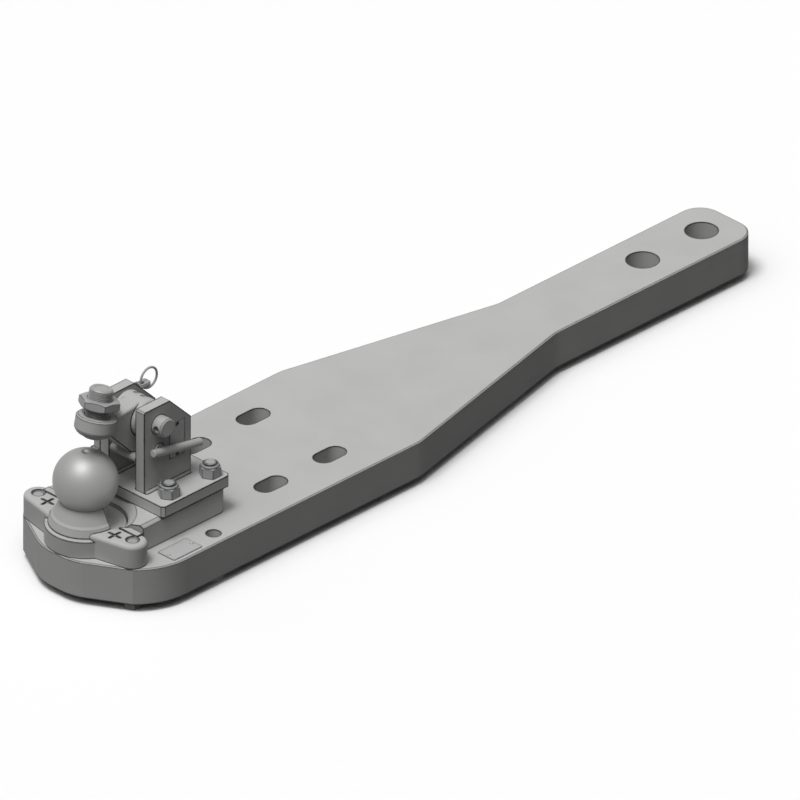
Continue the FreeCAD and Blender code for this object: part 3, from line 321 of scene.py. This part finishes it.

# %% [markdown]
# ## Bare and plated steel
# Pins and shafts are turned and ground carbon steel, lightly oiled, with fine marks round their
# axis, which is Y on the pivot pin and the lock shaft. Real marks are near 0.1 mm apart, too fine
# to show from here, so they are drawn several times as coarse. The pressure screw is the same
# steel with a narrower, paler painted dark line, so only its thread's very crests are darker.
# Bolts and nuts are zinc plated and have gone dull and grey outdoors.

# %% Turned steel, screw steel and zinc
# Each edge colour here is the painted dark line along edges, painted shade in creases.
turned_steel = finish("turned_carbon_steel", "#ADADAC", "#A7A7A6", "#262625", 0.45, metal=0.06,
                      grit=0.0009, relief=0.00001, bevel=0.0005, line=0.0018,
                      stretch=(0.2, 4, 0.2), level=0.15)[0]
coat(turned_steel, "pivot_pin", "linch_pin", "pull_ring", "lock_shaft", "lock_circlip",
     "lock_handle")
screw_steel = finish("oiled_screw_steel", "#A9A9A8", "#A3A3A2", "#5A5A59", 0.45, metal=0.06,
                     grit=0.0009, relief=0.00001, bevel=0.0006, line=0.0006, level=0.15)[0]
coat(screw_steel, "pressure_screw")
zinc = finish("dulled_zinc_plate", "#A6A7A7", "#9FA0A0", "#202020", 0.45, metal=0.06,
              grit=0.0007, relief=0.00001, bevel=0.0005, line=0.0022, level=0.12)[0]
coat(zinc, "flange_bolts", "base_bolts", "base_nuts", "jam_nut", "detent_plate",
     "detent_screws")

# %% [markdown]
# ## Nylon and aluminium
# The locking rings of the nuts are moulded nylon, dark and matt. The type plate is rolled
# aluminium, left bare and brushed along its length, so its grain is stretched along X, and the
# marks are again drawn coarser than real ones.

# %% Nylon and brushed aluminium
# Each edge colour here is a painted line along edges and into creases.
nylon = finish("moulded_nylon", "#3C3C3E", "#353537", "#4A4A4C", 0.55, bevel=0.0003)[0]
coat(nylon, "nut_inserts")
aluminium = finish("brushed_aluminium", "#BABABA", "#B5B5B5", "#242424", 0.45, metal=0.12,
                   grit=0.0005, relief=0.00001, bevel=0.0004, line=0.0022,
                   stretch=(0.15, 2, 1), level=0.3)[0]
coat(aluminium, "type_plate", "type_plate_pins")

# %% [markdown]
# ## Surfaces from rings
# Bolts, nuts, beads and pins are all stacks of rings of points. Give each ring its radius or
# section as an array, join neighbours with quads, and close the ends with a fan or a loop. One
# function then serves every piece below, and each piece is only its own profile.

# %% Ring surfaces


def skin(rings, loop=False):
    """Points and faces of a closed surface through rings of points.

    Ring i, point j joins ring i + 1, point j + 1 by a quad; the points run round each ring. With
    loop, the last ring joins the first; otherwise each end ring closes to its own middle."""
    rings = np.asarray(rings, float)
    count, around = rings.shape[:2]
    points = rings.reshape(-1, 3)
    i = np.arange(count if loop else count - 1)[:, None]
    j = np.arange(around)[None, :]
    k, n = (i + 1) % count, (j + 1) % around
    quads = np.stack([i * around + j, i * around + n, k * around + n, k * around + j], -1)
    faces = quads.reshape(-1, 4).tolist()
    if not loop:
        points = np.vstack([points, rings[0].mean(0), rings[-1].mean(0)])
        first, last = count * around, count * around + 1
        j, n = j[0], n[0]
        top = (count - 1) * around
        faces += np.stack([np.full(around, first), n, j], -1).tolist()
        faces += np.stack([np.full(around, last), top + j, top + n], -1).tolist()
    return points, faces


def round_rings(radii, heights, around):
    """Rings about the Z axis: x = radius cos(angle), y = radius sin(angle), z = height.

    A radius may be one number or an array with one number for each angle."""
    angle = np.arange(around) * TAU / around
    radii = np.array([np.broadcast_to(r, around) for r in radii])
    heights = np.array([np.broadcast_to(h, around) for h in heights])
    return np.stack([radii * np.cos(angle), radii * np.sin(angle), heights], -1)


def upright(points, axis, origin):
    """Turn points so that their Z axis lies along axis, then move them to origin.

    The new X axis stays in the world's XZ plane, as on the CAD pieces."""
    z = np.array(axis, float)
    z /= np.linalg.norm(z)
    x = np.cross((0, 1, 0), z) if abs(z[1]) < 0.9 else np.array([1.0, 0, 0])
    x /= np.linalg.norm(x)
    y = np.cross(z, x)
    return points @ np.array([x, y, z]) + np.array(origin)


def at_places(shell, places):
    """Copies of a shell at several places."""
    points, faces = shell
    return [(points + np.array(place), faces) for place in places]


# %% [markdown]
# ## From rings to a piece
# A piece is made in millimetres in the frame's own place, and one division by 1000 gives metres.
# A shell whose faces point inwards would shade wrongly, so its signed volume is measured first,
# and its faces are turned round where that is negative.

# %% Pieces
SHARP_ANGLE = math.radians(35)


def signed_volume(points, faces):
    """Six times the volume inside the faces, positive when they point outwards.

    Volume = sum over triangles of a corner dotted with the cross product of the other two."""
    corners = np.array([(f[0], f[1], f[2]) for f in faces]
                       + [(f[0], f[2], f[3]) for f in faces if len(f) == 4])
    a, b, c = (points[corners[:, i]] for i in range(3))
    return float(np.einsum("ij,ij->i", a, np.cross(b, c)).sum())


def piece(name, shells, body, slot, material, *replaced):
    """One object from shells given in millimetres, smooth up to the sharp angle."""
    points, faces = [], []
    for shell_points, shell_faces in shells:
        if signed_volume(shell_points, shell_faces) < 0:
            shell_faces = [face[::-1] for face in shell_faces]
        start = sum(map(len, points))
        points.append(shell_points)
        faces += [[corner + start for corner in face] for face in shell_faces]
    mesh = bpy.data.meshes.new(name)
    mesh.from_pydata(np.vstack(points) / 1000, [], faces)
    mesh.polygons.foreach_set("use_smooth", np.ones(len(mesh.polygons), bool))
    mesh.set_sharp_from_angle(angle=SHARP_ANGLE)
    mesh.validate()
    mesh.materials.append(material)
    thing = bpy.data.objects.new(name, mesh)
    bpy.context.scene.collection.objects.link(thing)
    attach(thing, body)
    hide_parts(*replaced)
    print(name, len(mesh.polygons), "faces")


# %% [markdown]
# ## Hexagons and threads
# A hexagon is a circle whose radius grows toward the corners, and the turned chamfer is a cone
# that caps it: at each height the radius is the smaller of the two. A thread is a radius that
# falls and rises once per pitch, shifted by one pitch per turn, so that the ridge is a helix.

# %% Hexagons and threads
AROUND = 72
ANGLES = np.arange(AROUND) * TAU / AROUND
RINGS_PER_PITCH = 10


def hexagon(flats):
    """Radius of a hexagon at each angle, with a corner at angle 0."""
    return flats / 2 / np.cos(np.mod(ANGLES, TAU / 6) - TAU / 12)


def hex_block(flats, low, high, crown=30):
    """Radii and heights of a hexagon whose ends are capped by cones of the crown's angle.

    Each end has five rings down the cone, from just inside the flats out to the corners, and a
    ring's radius is the smaller of the cone's and the hexagon's."""
    corner = flats / math.sqrt(3)
    face = flats / 2 - 0.4
    shares = np.linspace(0, 1, 5)
    radii = [np.minimum(hexagon(flats), face + share * (corner - face)) for share in shares]
    drops = shares * (corner - face) * math.tan(math.radians(crown))
    return radii + radii[::-1], [*(low + drops), *(high - drops[::-1])]


def thread(radius, pitch, low, high, chamfer=1.5):
    """Radii and heights of a helical ridge; its depth is 0.6 of the pitch.

    Ridge = distance from the crest as a share of the pitch, where crest height = pitch times
    turns; radius = outer radius less depth times the ridge, cut off by a chamfer at the top."""
    heights = np.append(np.arange(low, high, pitch / RINGS_PER_PITCH), high)
    share = np.mod(heights[:, None] / pitch - ANGLES[None, :] / TAU, 1)
    away = np.abs(2 * share - 1)
    groove = np.clip(1.25 * away - 0.12, 0, 1)
    radii = radius - 0.6 * pitch * groove
    limit = radius - np.clip(heights - (high - chamfer), 0, None)
    return list(np.minimum(radii, limit[:, None])), list(heights)


# %% [markdown]
# ## Bolts from below
# Four bolts run up through plate, block and base plate, and two hold the ball's flange. All have
# the 24 mm head and 2 mm pitch of M16. Head, shank and thread are one profile, so there is no
# seam to hide, and it is turned once and copied to each hole.

# %% Bolts from below
BOLT_FLATS, BOLT_SHANK, BOLT_PITCH = 24, 7.95, 2.0
BASE_BOLTS = [(x, y, 0) for x in (-218, -148) for y in (-60, 60)]
FLANGE_BOLTS = [(-300, y, 0) for y in (-80, 80)]


def bolt(top, thread_from):
    """Bolt from below: capped hexagon head with its washer face, plain shank, rolled thread."""
    radii, heights = hex_block(BOLT_FLATS, -10, -0.4)
    radii += [11.4, 11.4, BOLT_SHANK, BOLT_SHANK]
    heights += [-0.4, 0.0, 0.0, thread_from - 0.5]
    thread_radii, thread_heights = thread(BOLT_SHANK, BOLT_PITCH, thread_from, top)
    return skin(round_rings(radii + thread_radii, heights + thread_heights, AROUND))


piece("base_bolts_threaded", at_places(bolt(119.5, 98), BASE_BOLTS), "mounting_plate",
      "zinc_steel", zinc, "base_bolts")
piece("flange_bolts_threaded", at_places(bolt(79, 60), FLANGE_BOLTS), "mounting_plate",
      "zinc_steel", zinc, "flange_bolts")

# %% [markdown]
# ## Lock nuts
# A lock nut is a hexagon with a thin collar above it that is rolled over a nylon ring. The nut is
# one profile that runs up the outside, over the dome and down the bore, closed to a loop. The
# ring is a small ellipse carried round the bolt.

# %% Lock nuts with their nylon rings
BASE_TOP, NUT_SHOULDER = 101.0, 114.6
radii, heights = hex_block(BOLT_FLATS, BASE_TOP, NUT_SHOULDER)
dome = np.linspace(0, 1, 8)
radii += [*(11.2 - 1.7 * dome ** 2.2), 9.3, 9.25, 8.0, 8.0]
heights += [*(NUT_SHOULDER + 2.9 * np.sin(dome * TAU / 4) ** 0.9), 117.3, 116.6, 116.4, BASE_TOP]
nut = skin(round_rings(radii, heights, AROUND), loop=True)
piece("base_nuts_turned", at_places(nut, BASE_BOLTS), "mounting_plate", "zinc_steel", zinc,
      "base_nuts")
around = np.linspace(0, TAU, 16, endpoint=False)
insert = skin(round_rings(8.62 + 0.60 * np.cos(around), 116.75 + 0.5 * np.sin(around), AROUND),
              loop=True)
piece("nylon_locking_rings", at_places(insert, BASE_BOLTS), "mounting_plate", "nylon", nylon,
      "nut_inserts")

# %% [markdown]
# ## Pressure screw and jam nut
# The screw that bears on the coupling leans with the arm. It is built upright on its own axis
# and then turned, with the same ring functions as the bolts but a thread of 30 mm by 2 mm. Its
# foot is rounded, its top is chamfered and slightly hollow, and the jam nut sits below the top.

# %% Pressure screw and jam nut
PIVOT_X, PIVOT_Z = -212.5, 188
BOSS_REACH = 71.8
TILT = math.radians(13.481)
BOSS_AXIS = (math.sin(TILT), 0, math.cos(TILT))
BOSS_ORIGIN = (PIVOT_X - BOSS_REACH * math.cos(TILT), 0, PIVOT_Z + BOSS_REACH * math.sin(TILT))
SCREW_FOOT, SCREW_TOP = -19.5, 44.3
SCREW_RADIUS, FOOT_ROUND = 14.95, 4
JAM_LOW, JAM_HIGH = 19.5, 30.5


def on_boss(shell):
    """A shell turned onto the boss axis."""
    points, faces = shell
    return upright(points, BOSS_AXIS, BOSS_ORIGIN), faces


curve = np.linspace(0, TAU / 4, 7)
radii, heights = thread(SCREW_RADIUS, 2.0, SCREW_FOOT + 6, SCREW_TOP, chamfer=2.4)
radii = [*(SCREW_RADIUS - FOOT_ROUND * (1 - np.sin(curve))), *radii, 12.0, 9.0, 8.6]
heights = [*(SCREW_FOOT + FOOT_ROUND * (1 - np.cos(curve))), *heights, SCREW_TOP, SCREW_TOP,
           SCREW_TOP - 0.5]
screw = skin(round_rings(radii, heights, AROUND))
piece("pressure_screw_threaded", [on_boss(screw)], "screw", "bright_steel", screw_steel,
      "pressure_screw")
radii, heights = hex_block(45, JAM_LOW, JAM_HIGH, crown=22)
radii += [15.6, 15.05, 15.05, 15.6]
heights += [JAM_HIGH, JAM_HIGH - 0.6, JAM_LOW + 0.6, JAM_LOW]
jam = skin(round_rings(radii, heights, AROUND), loop=True)
piece("jam_nut_turned", [on_boss(jam)], "screw", "zinc_steel", zinc, "jam_nut")

# %% [markdown]
# ## Weld beads
# A fillet weld is a quarter-round ridge laid in small overlapping puddles. The section is carried
# along the foot of each cheek, its size beating with the puddles and wandering a little. A plain
# rod there would look like a rubber seal.

# %% Weld beads
LEG, PUDDLE = 4.0, 2.4
WELD_START, WELD_END = -237.3, -158.7
STATIONS, KNOTS = 260, 40
# For each bead: side of the plate, distance of the cheek's face from the middle, way it faces.
CHEEK_FACES = ((-1, 37.5, 1), (-1, 22.5, -1), (1, 37.5, 1), (1, 22.5, -1))


def weld(y, side, seed):
    """A bead along X at the base plate's top: section = corner plus a bulging third side.

    Size = leg times (1 + 0.05 times |sin| of the puddle phase + slow noise), less at the ends."""
    along = np.linspace(WELD_START, WELD_END, STATIONS)
    drift = np.random.default_rng(seed).normal(0, 1, KNOTS)
    slow = np.interp(along, np.linspace(WELD_START, WELD_END, KNOTS), drift) * 0.02
    ends = np.clip(np.minimum(along - WELD_START, WELD_END - along) / 2.5, 0.15, 1) ** 0.5
    ripple = 0.05 * np.abs(np.sin((along - WELD_START) * TAU / (2 * PUDDLE)))
    size = LEG * 0.94 * ends * (1 + ripple + slow)
    turn = np.linspace(0, TAU / 4, 11)
    out, up = (np.append(wave ** 1.25, -0.02) for wave in (np.cos(turn), np.sin(turn)))
    return skin(np.stack([np.broadcast_to(along[:, None], (STATIONS, len(turn) + 1)),
                          y + side * size[:, None] * out[None, :],
                          BASE_TOP + size[:, None] * up[None, :]], -1))


beads = [weld(sign * foot, sign * way, seed)
         for seed, (sign, foot, way) in enumerate(CHEEK_FACES)]
piece("weld_beads_rippled", beads, "mounting_plate", "plate_paint", enamel, "weld_beads")

# %% [markdown]
# ## Type plate
# A bare rolled plate with a pressed border, held by two round-headed drive pins. Its outline is a
# rounded rectangle, shrunk ring by ring toward the middle while the height follows the pressing.

# %% Type plate and drive pins
LABEL_X, LABEL_Y = -238.75, -99.5
PIN_OFFSET, PIN_RADIUS = 19.5, 2.5
# The pressing: inset from the outline and height, in millimetres.
STEPS = [(0, 50.02), (0, 50.75), (0.25, 51.0), (1.6, 51.0), (1.9, 50.8), (2.5, 50.8),
         (2.8, 51.0), (4.5, 51.0), (9, 51.0)]


def rounded_rectangle(length, width, radius, height, around=96):
    """A ring: each quarter is an arc about its own corner centre."""
    turn = np.arange(around) * TAU / around + TAU / (2 * around)
    across = np.sign(np.cos(turn)) * (length / 2 - radius) + radius * np.cos(turn)
    up = np.sign(np.sin(turn)) * (width / 2 - radius) + radius * np.sin(turn)
    return np.stack([across, up, np.full(around, height)], -1)


label = skin([rounded_rectangle(49 - 2 * inset, 29 - 2 * inset, max(2.6 - inset * 0.5, 0.6), z)
              for inset, z in STEPS])
piece("type_plate_pressed", at_places(label, [(LABEL_X, LABEL_Y, 0)]), "mounting_plate",
      "bare_aluminium", aluminium, "type_plate")
curve = np.linspace(0, TAU / 4, 8)[:-1]
pin = skin(round_rings([PIN_RADIUS, *(PIN_RADIUS * np.cos(curve)), 0.05],
                       [50.6, *(51.0 + 1.5 * np.sin(curve)), 52.5], 40))
piece("drive_pins_domed", at_places(pin, [(LABEL_X - PIN_OFFSET, LABEL_Y, 0),
                                          (LABEL_X + PIN_OFFSET, LABEL_Y, 0)]),
      "mounting_plate", "bare_aluminium", aluminium, "type_plate_pins")

# %% [markdown]
# ## Detent screws
# Two small flat screws hold the detent plate. Each has a hexagon socket: after the rim come rings
# of a small hexagon that go down to the socket's floor.

# %% Detent screws
DETENT_SCREWS = [(-182.5, -38.5, z) for z in (177, 136)]
socket = hexagon(2.4)
points, faces = skin(round_rings([2.4, 2.4, 2.25, 1.7, socket, socket * 0.98, socket * 0.5],
                                 [-0.95, -0.15, 0.0, 0.0, 0.0, -0.8, -0.9], AROUND))
heads = [(upright(points, (0, -1, 0), place), faces) for place in DETENT_SCREWS]
piece("detent_screws_socketed", heads, "mounting_plate", "zinc_steel", zinc, "detent_screws")

# %% [markdown]
# ## The view
# The Standard view shows colours as they are written.

# %% View
bpy.context.scene.view_settings.view_transform = "Standard"
